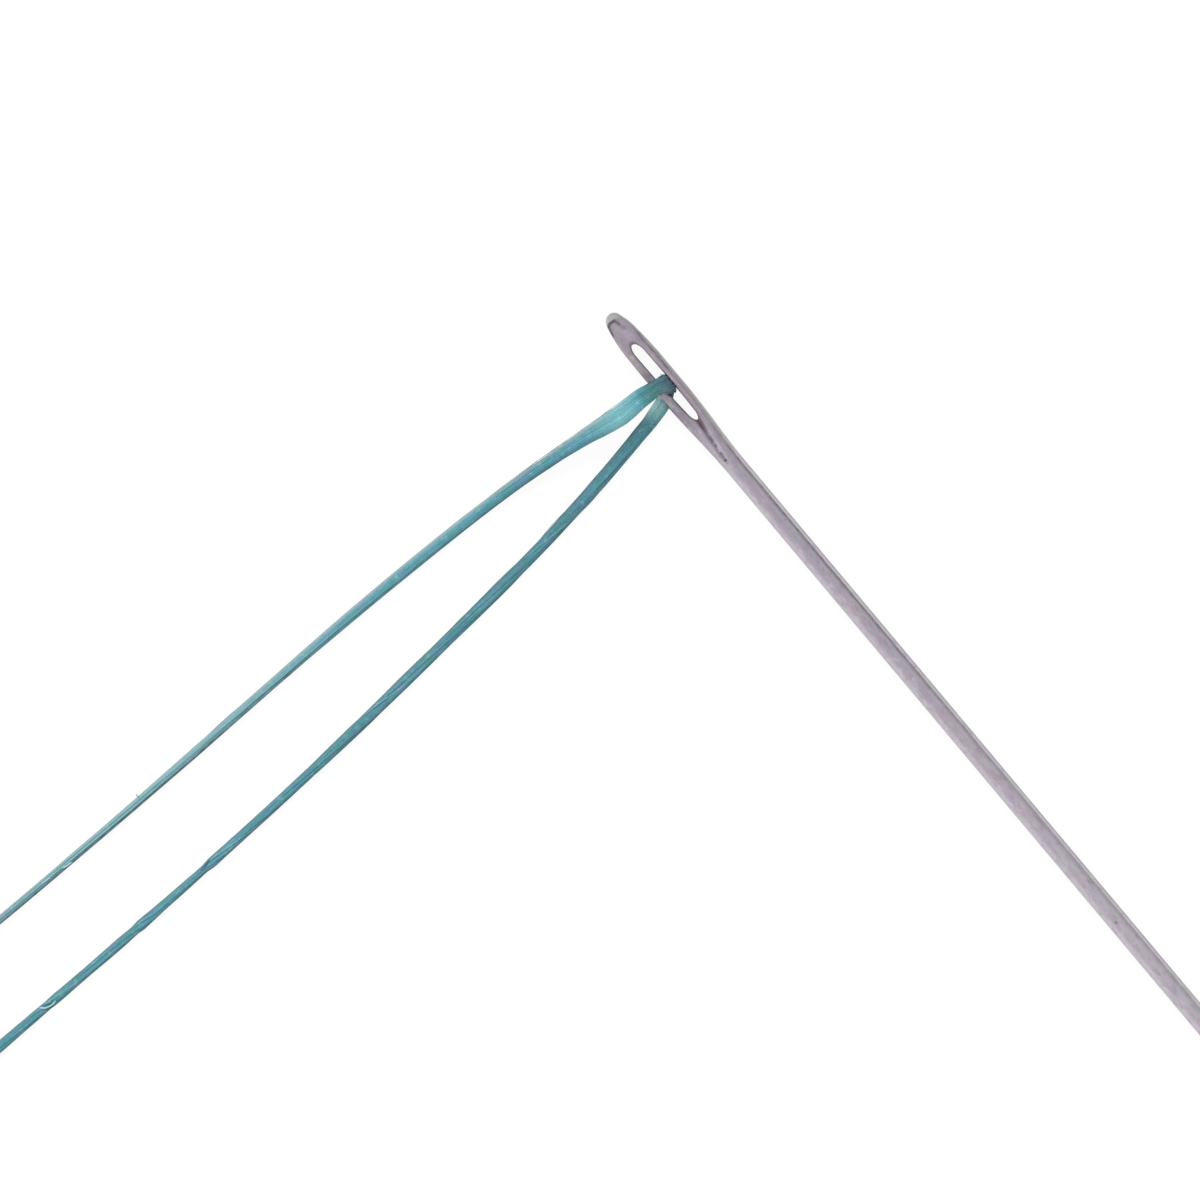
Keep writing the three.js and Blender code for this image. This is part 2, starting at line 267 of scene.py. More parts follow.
def makeNylon():
    material, maker, shader = newMaterial(
        "tealNylon", {"Sheen Weight": 0.08, "Sheen Roughness": 0.4, "Specular IOR Level": 0.4}
    )

    def kept(name):
        return maker.node("ShaderNodeAttribute", {"attribute_name": name}, None, "Fac")

    strand, along, tone = kept("strand"), kept("along"), kept("shade")
    side, rim = kept("side"), kept("rim")
    place = maker.node("ShaderNodeTexCoord", None, None, "Object") * metre
    x, y, z = place.parts()
    streak = maker.noise(maker.vector(along * 1.4, strand * 57.0, 0.0), 1.0, 3.0, 0.6)
    speck = maker.noise(maker.vector(along * 7.0, strand * 91.0, 4.0), 1.0, 2.0, 0.7)
    patch = maker.noise(place, 0.9, 2.0)
    fleck = maker.noise(place + 7.0, 4.2, 2.0)
    glint = maker.noise(place + 21.0, 7.0, 1.0)
    light = strand * 0.25 + (streak - 0.5) * 0.6 + (speck - 0.5) * 0.6 + (glint - 0.5) * 0.9 + 0.38
    tinted = maker.node("ShaderNodeValToRGB", {"stops": nylon["shades"]}, {"Fac": light})

    def tint(mask, name):
        nonlocal tinted
        tinted = maker.blend(mask, tinted, nylon[name])

    tint((patch - 0.52).step(0.0, 0.14) * 0.30, "green")
    tint((0.46 - patch).step(0.0, 0.14) * 0.30, "blue")
    tint((fleck - 0.52).step(0.0, 0.12) * 0.65, "green")
    away = 0.2 + (0 - y).step(1.5, 3.5) * 0.45
    tint((0.48 - fleck).step(0.0, 0.12) * away, "violet")
    tint((glint - 0.64).step(0.0, 0.10) * 0.3, "pale")
    tint((tone - 1).most(0.0).least(1.0), "pale")
    far = (tone - 1).step(0.1, 0.35) * (0 - y).step(6.0, 10.0)
    tint((0 - side).step(0.1, 1.1) * (0.40 - far * 0.3), "pale")  # painted light along one edge
    tint((0 - side).step(0.3, 0.85) * 0.40, "fluff")
    broken = (glint * 0.8 + fleck * 1.2 - 0.4).most(0.15)  # the shaded edges come and go
    low, high = side.most(rim * (side > 0.0)), rim * (side < 0.0)
    shadow = low.step(0.30 - far * 0.2, 0.65) * (0.34 + far * 0.28) * (0.2 + broken * 1.2)
    shadow = shadow * (1 - low.step(0.82, 1.0) * 0.5)
    edged = high.step(0.55, 0.85) * (0.15 + broken * 0.50) * (1 - high.step(0.85, 1.0) * 0.5)
    tint(shadow.most(edged).least(1.0), "dark")
    bent = near(x, y, nylon["pressedAt"], 0.40) * z.step(0.45, 0.55)
    tint(bent * 0.85, "pressed")
    # painted shade on one edge where the thread bends over the rim
    tint(bent * side.step(-0.1, 0.6) * 0.45, "dark")
    lifted = z.step(0.2, 0.3)
    tint(near(x, y, nylon["spreadAt"], 0.90, 2.0) * lifted * 0.32, "spread")
    # painted shade where the tone is low at the eye, and the working end's darker dye elsewhere
    tint((1 - tone).most(0.0) * 0.95, "dyeAndEyeShade")
    # painted highlight on the stray filaments, whose tone is above 2
    tint((tone - 2).most(0.0), "bright")
    # painted highlight where the working end comes out from under the rim
    tint(near(x, y, nylon["rimHighlightAt"], 0.58, 1.6) * (1 - lifted) * (0.7 + strand * 0.3), "rimHighlight")
    maker.plug(shader.inputs["Base Color"], tinted)
    maker.plug(shader.inputs["Roughness"], 0.36 + speck * 0.3)
    bump = maker.node("ShaderNodeBump", None, {"Height": speck, "Strength": 0.25, "Distance": 0.00001})
    maker.plug(shader.inputs["Normal"], bump)
    return material


tealNylon = makeNylon()


# thread: strands along a line
bundle = {  # what a bundle is like unless its own settings say otherwise
    "tone": 1.0,
    "turn": 0.0,
    "sideShade": 0.0,
    "square": 0.0,  # how far it fills the eye's corners
    "eyeLeave": (0.03, 0.16),  # where it stops filling them
    "eyeTurn": (0.12, 0.7),  # where it turns from the eye's direction to its own
    "loose": 0,
    "looseLeft": 0.5,
    "winding": 0,
    "windingRate": 1.26,  # radians in a millimetre
    "windingStart": 2.0,
    "leastHalf": 0.01,
    "coreRadius": 0.062,  # of the thickest strand inside
    "spreadSteps": (0.618034, 0.754878),  # two ratios that spread strands evenly
    "sides": 5,
}


def makeThreadTree():
    tree, maker, given = newTree("threadStrands", {
        "Strands": "Int", "Core Strands": "Int", "Loose Strands": "Int", "Winding Strands": "Int",
        "Winding Rate": "Float", "Winding Start": "Float", "Strand Radius": "Float", "Sides": "Int",
        "Wander": "Float", "Loose Left": "Float", "Rim Shade": "Float", "Seed": "Int",
        "Material": "Material",
    })
    named = maker.named
    line = maker.node("GeometryNodeMeshToCurve", None, {"Mesh": given["Geometry"]})
    copies = maker.node(
        "GeometryNodeDuplicateElements", {"domain": "SPLINE"},
        {"Geometry": line, "Amount": given["Strands"] + given["Loose Strands"] + given["Winding Strands"]},
    )
    number = copies.of("Duplicate Index") + 0.0
    along = maker.node("GeometryNodeSplineParameter", None, None, "Length") * metre
    core = number < given["Core Strands"] - 0.5
    winding = number > given["Strands"] + given["Loose Strands"] - 0.5
    loose = (number > given["Strands"] - 0.5) - winding
    chance = maker.node(
        "ShaderNodeTexWhiteNoise", {"noise_dimensions": "1D"}, {"W": number + given["Seed"] * 31.7}
    )
    slow = maker.noise(maker.vector(along * 0.4, number * 3.71, given["Seed"] * 1.3), 1.0, 2.0)
    quick = maker.noise(maker.vector(along * 1.1, number * 5.3, given["Seed"] * 2.1), 1.0, 1.0)

    # strands are spread evenly over the flat section, and wander a little
    evenStep, levelStep = bundle["spreadSteps"]
    even = maker.sums("FRACT", number * evenStep + given["Seed"] * 0.37) * 2 - 1
    level = maker.sums("FRACT", number * levelStep + given["Seed"] * 0.23) * 2 - 1
    rounded = (1 - even ** 4.0) ** 0.5
    level = level * (rounded + (1 - rounded) * named("square"))
    coreRadius = (named("halfDepth") * 0.8 + given["Strand Radius"] * 0.3).least(bundle["coreRadius"] * mm)
    coreReach = 1 + (given["Strand Radius"] - coreRadius) / named("halfWidth")
    inCore = ((number + 0.5) * 2 / given["Core Strands"].most(1.0) - 1) * coreReach
    even = even + core * (inCore - even)
    everyOther = 1 - maker.sums("FRACT", number * 0.5) * 2
    level = level + core * (everyOther * named("square") - level)
    turn = named("turn") * (1 - core)
    across = even * turn.cos() - level * turn.sin() + (slow - 0.5) * given["Wander"]
    upward = even * turn.sin() + level * turn.cos() + (quick - 0.5) * given["Wander"]
    across = across.least(1.0).most(-1.0)
    edge = (maker.sums("FRACT", chance * 7.3) > given["Loose Left"]) * 2 - 1
    away = edge * (0.78 + (slow - 0.4).most(0.0) * 1.6)  # loose strands leave the edge and come back
    across = across + loose * (away - across)
    upward = upward * (1 - loose * 0.6)
    wound = along * given["Winding Rate"] + given["Winding Start"]
    across = across + winding * (wound.cos() - across)
    upward = upward + winding * (wound.sin() * 1.1 - upward)
    shift = named("across", "FLOAT_VECTOR") * (across * named("halfWidth"))
    shift = shift + named("upward", "FLOAT_VECTOR") * (upward * named("halfDepth"))
    moved = maker.store(copies, "middle", maker.position(), "FLOAT_VECTOR")
    moved = maker.move(moved, {"Offset": shift})

    x, y, z = maker.position().parts()
    lowest = given["Strand Radius"] + core * (coreRadius - given["Strand Radius"])
    above = maker.vector(x, y, z.most(lowest))  # nothing sinks into the table
    moved = maker.move(moved, {"Position": above})
    thick = (0.82 + quick * 0.36) * (1 - loose * 0.72)
    thick = thick + core * (coreRadius / given["Strand Radius"] - thick)

    def keep(geometry, values):  # for the material
        for label, value in values.items():
            geometry = maker.store(geometry, label, value)
        return geometry

    moved = keep(moved, {"strand": chance, "along": along, "shade": named("tone") + winding * 0.45})
    ring = maker.node(
        "GeometryNodeCurvePrimitiveCircle", {"mode": "RADIUS"},
        {"Resolution": given["Sides"], "Radius": given["Strand Radius"]},
    )
    tube = maker.node("GeometryNodeCurveToMesh", None, {
        "Curve": moved, "Profile Curve": ring, "Scale": thick, "Fill Caps": True,
    })
    fromMiddle = maker.position() - named("middle", "FLOAT_VECTOR")
    aside = maker.node(
        "ShaderNodeVectorMath", {"operation": "DOT_PRODUCT"},
        {0: fromMiddle, 1: named("across", "FLOAT_VECTOR")}, "Value",
    )
    aside = aside / (named("halfWidth") + given["Strand Radius"])
    tube = keep(tube, {"side": aside * named("sideShade"), "rim": abs(aside) * given["Rim Shade"]})
    endTree(maker, tube, given["Material"])
    return tree


threadTree = makeThreadTree()


def roundOff(points, spanSteps):  # one smooth curve through the route's points
    points = np.asarray(points, float)
    points = np.vstack([2 * points[0] - points[1], points, 2 * points[-1] - points[-2]])
    share = np.linspace(0, 1, spanSteps, endpoint=False)[:, None]
    line = []
    for a, b, c, d in zip(points, points[1:], points[2:], points[3:]):
        ab, bc, cd = (math.sqrt(np.linalg.norm(q - p)) for p, q in ((a, b), (b, c), (c, d)))
        leave = bc * ((b - a) / ab - (c - a) / (ab + bc) + (c - b) / bc)
        reach = bc * ((c - b) / bc - (d - b) / (bc + cd) + (d - c) / cd)
        line.append(
            b + leave * share + (3 * (c - b) - 2 * leave - reach) * share**2
            + (2 * (b - c) + leave + reach) * share**3
        )
    return np.vstack([*line, points[-2:-1]])


def spaceOut(line, gaps):  # the same curve again, with points the given lengths apart
    run = np.concatenate([[0], np.cumsum(np.linalg.norm(np.diff(line, axis=0), axis=1))])
    stops, place = [0.0], 0.0
    while place < run[-1]:
        place += np.interp(place, [g[0] for g in gaps], [g[1] for g in gaps])
        stops.append(min(place, run[-1]))
    return np.stack([np.interp(stops, run, line[:, k]) for k in range(3)], axis=1)


def sectionAxes(line, acrossInEye=None):  # the flat section's two directions at each point
    forward = np.gradient(line, axis=0)
    forward /= np.linalg.norm(forward, axis=1)[:, None]
    across = np.stack([-forward[:, 1], forward[:, 0], np.zeros(len(line))], axis=1)
    if acrossInEye is not None:
        out = np.linalg.norm(line[:, :2] - line[0, :2], axis=1)
        free = fade(out, *bundle["eyeTurn"])[:, None]
        across = free * across + (1 - free) * np.array(acrossInEye)
    across -= (across * forward).sum(1)[:, None] * forward
    across /= np.linalg.norm(across, axis=1)[:, None]
    return across, np.cross(forward, across)


def threadPiece(name, line, axes, settings):  # strands along a line
    sizes = {**bundle, **settings}
    even = np.ones(len(line))
    values = {label: sizes[label] * even for label in ("tone", "turn", "sideShade", "square")}
    for label in ("halfWidth", "halfDepth"):
        values[label] = np.maximum(sizes[label] - sizes["strandRadius"], sizes["leastHalf"]) * even * mm
    values["across"], values["upward"] = axes
    return runTree(name, lineMesh(name, line * mm, values), threadTree, {
        "Strands": sizes["strands"], "Core Strands": sizes["core"], "Loose Strands": sizes["loose"],
        "Winding Strands": sizes["winding"], "Winding Rate": sizes["windingRate"],
        "Winding Start": sizes["windingStart"], "Strand Radius": sizes["strandRadius"] * mm,
        "Sides": sizes["sides"], "Wander": sizes["wander"], "Loose Left": sizes["looseLeft"],
        "Rim Shade": sizes["rimShade"], "Seed": sizes["seed"], "Material": tealNylon,
    })


# thread: routes
eyePlace = np.array((-25.38, 0.0, 0.0))  # where the thread goes through the eye
eyeHeight = 0.33
eyeShift = np.array((-0.06, 0.0))  # the fold lies a little nearer the nose

bothEnds = {  # what the two stretches have in common
    "restHeight": 0.07,
    "bend": 0.13,
    "strands": 64,
    "strandRadius": 0.0185,
    "wander": 0.24,
}
shortEnd = {
    **bothEnds,
    "route": [
        (-0.13, -0.3), (-0.2, -0.7), (-0.22, -1.28), (-0.36, -2.2), (-0.5, -3.4), (-0.6, -5),
        (-0.65, -7), (-0.66, -9), (-0.62, -11.5), (-0.55, -14), (-0.5, -16.5), (-0.49, -19.3),
        (-0.54, -23), (-0.82, -27.5), (-1.65, -32),
    ],
    "rimHeight": 0.56,
    "descent": (0.7, 5.2),
    # distance from the needle, half width, half depth and tone of the flat bundle; the low tones at the eye
    # are painted shade
    "section": [
        (0.00, 0.255, 0.146, 0.05), (0.02, 0.247, 0.122, 0.05), (0.06, 0.225, 0.116, 0.12),
        (0.13, 0.190, 0.100, 0.42), (0.22, 0.172, 0.080, 0.60), (0.33, 0.178, 0.066, 0.80),
        (0.45, 0.200, 0.063, 0.78), (0.60, 0.213, 0.060, 0.76), (0.95, 0.232, 0.054, 1.22),
        (1.28, 0.244, 0.045, 1.38), (1.80, 0.220, 0.050, 1.20), (2.30, 0.182, 0.060, 1.02),
        (2.86, 0.152, 0.065, 0.92), (4.00, 0.132, 0.068, 0.92), (5.50, 0.139, 0.068, 1.05),
        (7.40, 0.137, 0.068, 1.05), (9.00, 0.130, 0.068, 1.12), (11.0, 0.114, 0.068, 1.28),
        (13.4, 0.112, 0.068, 1.42), (15.0, 0.100, 0.068, 1.42), (19.3, 0.091, 0.068, 1.40),
        (23.0, 0.110, 0.068, 1.00), (31.0, 0.140, 0.066, 1.00), (32.1, 0.190, 0.060, 1.00),
    ],
    "turns": [(0, 0.0), (3, 0.4), (12, 1.4), (21, 3.0), (32, 4.6)],
    "strays": [  # tone and route of filaments that lie across the others
        (2.5, [(-0.45, -17.25), (-0.455, -17.31), (-0.465, -17.43), (-0.49, -17.52)]),
        (2.0, [(-0.55, -15.19), (-0.60, -15.18), (-0.65, -15.16), (-0.685, -15.15)]),
        (2.2, [(-0.49, -17.83), (-0.50, -17.89), (-0.507, -18.00), (-0.53, -18.08)]),
    ],
    "core": 14,
    "loose": 5,
    "looseLeft": 0.85,
    "square": 0.4,
    "sideShade": [(0, 0.0), (0.12, -1.0), (0.35, -0.8), (0.5, -0.2), (0.7, 0.6), (1.3, 0.75), (2.0, 1.0)],
    "offsets": [  # small moves aside
        (0, 0.012), (0.06, 0.0), (0.13, -0.03), (0.22, -0.045), (0.33, -0.038), (0.45, -0.012), (0.6, -0.004),
        (1.0, 0.01), (1.8, 0.02), (3, 0.02), (5.5, 0.0), (12, 0.0), (17, -0.018), (25, 0.0),
    ],
    "rimShade": 0.0,
    "seed": 3,
    "gaps": [(0.0, 0.035), (1.2, 0.06), (2.5, 0.16), (6, 0.22), (21, 0.22), (23, 0.42), (40, 0.42)],
}
workingEnd = {
    **bothEnds,
    "route": [
        (0.15, -0.3), (0.28, -0.76), (0.36, -1.18), (0.51, -1.9), (0.72, -3.25), (0.9, -4.6),
        (1.04, -6), (1.2, -8), (1.35, -10), (1.5, -12.5), (1.6, -15), (1.66, -17.5),
        (1.69, -20), (1.72, -23.5), (1.73, -27.5), (1.73, -32),
    ],
    "rimHeight": 0.075,
    "descent": (0.5, 1.2),
    "section": [
        (0.00, 0.235, 0.150, 0.05), (0.03, 0.215, 0.125, 0.05), (0.12, 0.195, 0.100, 0.60),
        (0.33, 0.190, 0.068, 1.10), (0.90, 0.172, 0.068, 0.90), (1.90, 0.165, 0.068, 0.68),
        (2.60, 0.168, 0.068, 0.65), (3.25, 0.156, 0.068, 0.64), (4.50, 0.137, 0.068, 0.66),
        (5.85, 0.150, 0.068, 0.70), (7.50, 0.134, 0.068, 0.74), (9.00, 0.146, 0.068, 0.80),
        (10.5, 0.135, 0.068, 0.78), (12.2, 0.114, 0.068, 0.82), (13.5, 0.113, 0.068, 0.85),
        (14.5, 0.116, 0.068, 0.92), (14.85, 0.124, 0.068, 0.92), (15.05, 0.094, 0.068, 0.80),
        (15.4, 0.099, 0.068, 0.80), (16.5, 0.112, 0.068, 0.90), (17.0, 0.128, 0.068, 0.90),
        (17.12, 0.106, 0.068, 0.80), (17.5, 0.119, 0.068, 0.85), (18.5, 0.116, 0.068, 0.85),
        (19.5, 0.117, 0.068, 0.95), (19.8, 0.108, 0.068, 0.85), (21.1, 0.119, 0.068, 0.90),
        (26.0, 0.145, 0.068, 0.90), (32.0, 0.150, 0.068, 0.90),
    ],
    "turns": [
        (0, 0.0), (3, 0.5), (8, 2.8), (14.3, 6.0), (15.1, 7.2), (16.6, 8.0), (17.3, 9.2),
        (19.3, 10.2), (20.1, 11.6), (24, 13.5), (32, 17.0),
    ],
    "strays": [
        (2.6, [
            (1.60, -19.93), (1.625, -19.90), (1.675, -19.85),
            (1.716, -19.75), (1.728, -19.60), (1.68, -19.50),
        ]),
        (0.3, [(1.60, -19.86), (1.628, -19.81), (1.66, -19.72), (1.666, -19.60), (1.64, -19.54)]),
        (0.4, [(1.50, -14.80), (1.525, -14.94), (1.56, -15.06), (1.58, -15.20)]),
    ],
    "core": 13,
    "loose": 3,
    "winding": 1,
    "looseLeft": 0.6,
    "square": 0.0,
    "sideShade": [(0, 0.0), (0.3, 0.8), (1.5, 0.6)],
    "offsets": [
        (0, 0.0), (0.5, 0.02), (1.0, 0.03), (1.9, 0.013), (4.5, 0.012), (5.85, -0.004),
        (20, -0.008), (25, 0.0),
    ],
    "rimShade": 1.0,
    "seed": 8,
    "gaps": [
        (0.0, 0.035), (1.2, 0.06), (2.5, 0.16), (6, 0.22), (14.6, 0.22), (15.1, 0.08), (15.8, 0.08),
        (16.2, 0.16), (17.2, 0.08), (17.8, 0.08), (18.4, 0.22), (21.5, 0.22), (23, 0.42), (40, 0.42),
    ],
}


def stretchLine(sizes, direction):  # out of the eye, over or under the rim, down to the table
    def height(distance):
        down = fade(distance, *sizes["descent"])
        return sizes["rimHeight"] + (sizes["restHeight"] - sizes["rimHeight"]) * down

    heading = np.array(sizes["route"][0]) - eyeShift
    heading /= np.linalg.norm(heading)
    points = [(*eyeShift, eyeHeight)]
    for angle in np.linspace(0, math.pi / 2, 5):
        out = eyeShift + heading * sizes["bend"] * (1 - math.cos(angle))
        points.append((*out, height(0) - direction * sizes["bend"] * (1 - math.sin(angle))))
    points += [(x, y, height(math.hypot(x, y))) for x, y in sizes["route"]]
    line = roundOff(points, 24)
    line[:, 2] = np.maximum(line[:, 2], sizes["restHeight"])
    line = spaceOut(line, sizes["gaps"])
    aside = sectionAxes(line)[0] * np.interp(-line[:, 1], *zip(*sizes["offsets"]))[:, None]
    return line + aside + eyePlace


def stretchSection(sizes, line):
    reach = -line[:, 1]
    columns = zip(*sizes["section"])
    places = next(columns)
    section = {label: np.interp(reach, places, next(columns)) for label in ("halfWidth", "halfDepth", "tone")}
    section["turn"] = np.interp(reach, *zip(*sizes["turns"]))
    section["sideShade"] = np.interp(reach, *zip(*sizes["sideShade"]))
    section["square"] = sizes["square"] * (1 - fade(reach, *bundle["eyeLeave"]))
    return section


stray = {
    "height": 0.140,
    "halfWidth": 0.021,
    "halfDepth": 0.02,
    "tuck": 0.05,
    "strands": 4,
    "core": 0,
    "rimShade": 0.5,
    "strandRadius": 0.010,
    "wander": 0.2,
    "seed": 5,
}


def strayPieces(sizes):
    pieces = []
    for tone, route in sizes["strays"]:
        line = roundOff([(x, y, stray["height"]) for x, y in route], 12) + eyePlace
        line[:, 2] -= stray["tuck"] * np.abs(np.linspace(-1, 1, len(line))) ** 3  # the ends tuck in
        pieces.append(threadPiece("stray", line, sectionAxes(line), {**stray, "tone": tone}))
    return pieces


coil = {  # two layers of loops, put away past the edge of the picture
    "loops": 6,
    "innerRadius": 2.9,
    "pitch": 0.76,
    "layerPitch": 0.155,
    "overlap": (0.20, 0.34),  # a loop this far from one below comes down beside it
    "lead": 0.3,
    "startGap": 0.05,
    "stepsPerLoop": 54,
    "tieAngle": 285.0,
    "humpFlat": 14.0,
    "humpEnd": 42.0,
    "humpHeight": 0.16,
    "restHeight": 0.07,
    "halfWidth": 0.15,
    "halfDepth": 0.07,
    "sideShade": 0.3,
    "turnPerStep": 0.02,
    "strands": 13,
    "core": 3,
    "rimShade": 0.6,
    "strandRadius": 0.0285,
    "sides": 4,
    "wander": 0.3,
    "seed": 21,
}


def coilLine():
    outerRadius = coil["innerRadius"] + coil["loops"] * coil["pitch"]
    startX, startY = workingEnd["route"][-1]
    centre = (startX + outerRadius, startY - coil["startGap"] - coil["lead"])
    turns = np.arange(2 * coil["loops"] * coil["stepsPerLoop"] + 1) / coil["stepsPerLoop"]
    angle = math.pi + 2 * math.pi * turns
    away = np.abs((np.degrees(angle) - coil["tieAngle"] + 540) % 360 - 180)
    hump = 1 - fade(away, coil["humpFlat"], coil["humpEnd"])
    climb = fade(turns, coil["loops"] - 0.25, coil["loops"] + 0.25)
    radius = coil["innerRadius"] + np.abs(coil["loops"] - turns) * coil["pitch"]
    apart = coil["pitch"] * np.abs((2 * turns + 0.5) % 1 - 0.5)
    climb *= 1 - fade(apart, *coil["overlap"])
    line = np.stack([
        centre[0] + radius * np.cos(angle),
        centre[1] + radius * np.sin(angle),
        coil["restHeight"] + climb * coil["layerPitch"] + hump * coil["humpHeight"],
    ], axis=1)
    first, last = line[0] + (0, coil["lead"], 0), line[-1] - (0, coil["lead"], 0)
    return np.vstack([first, line, last]) + eyePlace, np.array((*centre, 0.0)) + eyePlace


def joined(name, parts):  # several meshes as one piece
    with bpy.context.temp_override(
        active_object=parts[0], object=parts[0], selected_objects=parts, selected_editable_objects=parts
    ):
        bpy.ops.object.join()
    parts[0].name = name
    return parts[0]


def stretchPiece(name, line, sizes):
    settings = {**sizes, **stretchSection(sizes, line)}
    return threadPiece(name, line, sectionAxes(line, (1, 0, 0)), settings)


def makeThread():
    shortLine = stretchLine(shortEnd, 1)
    short = stretchPiece("threadShort", shortLine, shortEnd)
    short = joined("threadShort", [short, *strayPieces(shortEnd)])
    freeLine = stretchLine(workingEnd, -1)
    free = stretchPiece("threadWorking", freeLine, workingEnd)
    woundLine, coilCentre = coilLine()
    settings = {**coil, "turn": np.arange(len(woundLine)) * coil["turnPerStep"]}
    wound = threadPiece("threadWound", woundLine, sectionAxes(woundLine), settings)
    working = joined("threadWorking", [free, wound, *strayPieces(workingEnd)])
    return short, shortLine, working, np.vstack([freeLine, woundLine]), coilCentre


threadShort, shortLine, threadWorking, workingLine, coilCentre = makeThread()


# coil wrap
wrap = {
    "reach": 2.48,  # half the flat run, across the loops
    "halfHeight": 0.185,
    "overlap": 1.6,
    "lean": 0.86,
    "steps": 150,
    "middleRadius": 5.18,
    "halfWidth": 0.15,
    "halfDepth": 0.068,
    "flare": 0.5,  # of the cut ends
    "sideShade": 0.3,
    "turn": 2.0,
    "strands": 22,
    "core": 4,
    "rimShade": 0.6,
    "strandRadius": 0.024,
    "wander": 0.3,
    "seed": 34,
}


def makeWrap():
    middle = coil["restHeight"] + wrap["halfHeight"]
    reach, half = wrap["reach"], wrap["halfHeight"]
    bend = np.linspace(math.pi / 2, -math.pi / 2, 24)
    corners = [(0.0, middle + half)]
    corners += [(reach + half * math.cos(a), middle + half * math.sin(a)) for a in bend]
    corners += [(-reach - half * math.cos(a), middle + half * math.sin(a)) for a in -bend]
    corners.append((wrap["overlap"], middle + half))
    profile = np.array([(x, 0.0, z) for x, z in corners])
    run = np.linalg.norm(np.diff(profile, axis=0), axis=1).sum()
    profile = spaceOut(profile, [(0, run / wrap["steps"]), (run, run / wrap["steps"])])
    angle = math.radians(coil["tieAngle"])
    outward = np.array((math.cos(angle), math.sin(angle), 0))
    aside = np.array((-outward[1], outward[0], 0))
    share = np.linspace(-0.5, 0.5, len(profile))[:, None]
    line = coilCentre + outward * (wrap["middleRadius"] + profile[:, :1]) + aside * wrap["lean"] * share
    line[:, 2] = profile[:, 2]
    forward = np.gradient(line, axis=0)
    forward /= np.linalg.norm(forward, axis=1)[:, None]
    across = aside - (forward @ aside)[:, None] * forward
    across /= np.linalg.norm(across, axis=1)[:, None]
    ends = 1 + wrap["flare"] * fade(np.abs(share[:, 0]), 0.47, 0.5)
    settings = {**wrap, "halfWidth": wrap["halfWidth"] * ends, "turn": share[:, 0] * wrap["turn"]}
    return threadPiece("coilWrap", line, (across, np.cross(forward, across)), settings)


coilWrap = makeWrap()
print("coil wrap: %d faces" % len(coilWrap.data.polygons))


def lengthOf(line):
    return float(np.linalg.norm(np.diff(line, axis=0), axis=1).sum()) * mm


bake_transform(threadShort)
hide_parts("thread_short_end")
lengthOf(shortLine)
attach(coilWrap, "working_thread")
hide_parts("coil_tie")
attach(threadWorking, "working_thread")
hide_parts("thread_working_end", "thread_coil")
lengthOf(workingLine)
shortLength, workingLength = lengthOf(shortLine) / mm, lengthOf(workingLine) / mm
print("thread: short end %.1f mm, working end %.1f mm" % (shortLength, workingLength))


# needle: sizes
needle = {
    "length": 55.0,
    "shaft": 0.48,
    "pointLength": 7.0,
    "pointTip": 0.05,
    "tipRound": 0.03,
    "headWidth": 0.65,
    "headThickness": 0.32,
    "squareness": 3.3,  # of the stamped section, 2 is round
    "noseEnd": 0.3,  # rows lie closer up to here
    "noseLength": 1.5,
    "noseBluntness": 0.30,
    "noseRound": 0.24,  # taken off the corners of its very end
    "noseRoundLength": 0.12,
    "headFade": (2.3, 4.5),
    "headEnd": 4.6,
    "eyeStart": 0.86,
    "eyeLength": 2.24,
    "eyeWidth": 0.235,
    "eyeTopLength": 0.27,
    "eyeTaperStart": 1.6,  # narrower from here to the end by the shaft
    "eyeTaper": 0.35,
    "eyeEndLength": 0.18,
    "eyeShift": -0.008,  # punched a little off the middle, and not quite straight
    "eyeLean": 0.019,
    "shoulder": 0.012,  # a flat spot on one side of the nose
    "eyeRounding": 0.035,
    "gutterStart": 3.1,
    "gutterAside": 0.01,
    "gutterLean": 0.1045,
    "gutterDepth": 0.055,
    "gutterWidth": 0.085,
    "pressDepth": 0.014,
    "topColumns": 24,
    "wallColumns": 6,
    "tilt": 0.0019616,  # sine of the lean on the thread
    "headHeight": 0.33,
    "bundlePlace": 2.12,
}


def gutterSide(place):  # the middle of the pressed gutter
    return needle["gutterAside"] - (place - needle["gutterStart"]) * needle["gutterLean"]


# needle: the plated steel
plate = {
    "lilac": (0.600, 0.525, 0.625),
    "rose": (0.645, 0.536, 0.620),
    "blue": (0.555, 0.535, 0.645),
    "edge": (0.598, 0.588, 0.586),
    "paleShaft": (0.715, 0.652, 0.730),
    "bright": (0.815, 0.765, 0.835),
    "dull": (0.500, 0.442, 0.512),
    "residueAndShade": (0.075, 0.050, 0.060),
    "line": (0.170, 0.165, 0.175),
    "headDarkerHalf": (0.440, 0.390, 0.430),
    "tip": (0.720, 0.720, 0.720),
    "brown": (0.185, 0.120, 0.125),
    "roughness": 0.30,
    "pressLines": [  # ends, width and strength of the lines round the stamped face
        ((0.172, -0.125), (0.19, 0.0), 0.065, 0.85),
        ((0.43, -0.245), (0.215, -0.19), 0.060, 0.6375),
        ((0.215, -0.19), (0.172, -0.125), 0.065, 0.765),
        ((0.19, 0.0), (0.316, 0.035), 0.075, 0.6375),
        ((0.316, 0.035), (0.447, 0.056), 0.085, 0.3825),
    ],
    "marks": [  # place, width, strength and squeeze of small dark spots
        ((4.21, -0.105), 0.06, 1.0, 1.0),  # the end of the gutter
        ((17.85, -0.06), 0.05, 0.6, 1.0),
        ((2.27, -0.125), 0.09, 0.75, 0.6),  # painted shadow below the fold
    ],
}


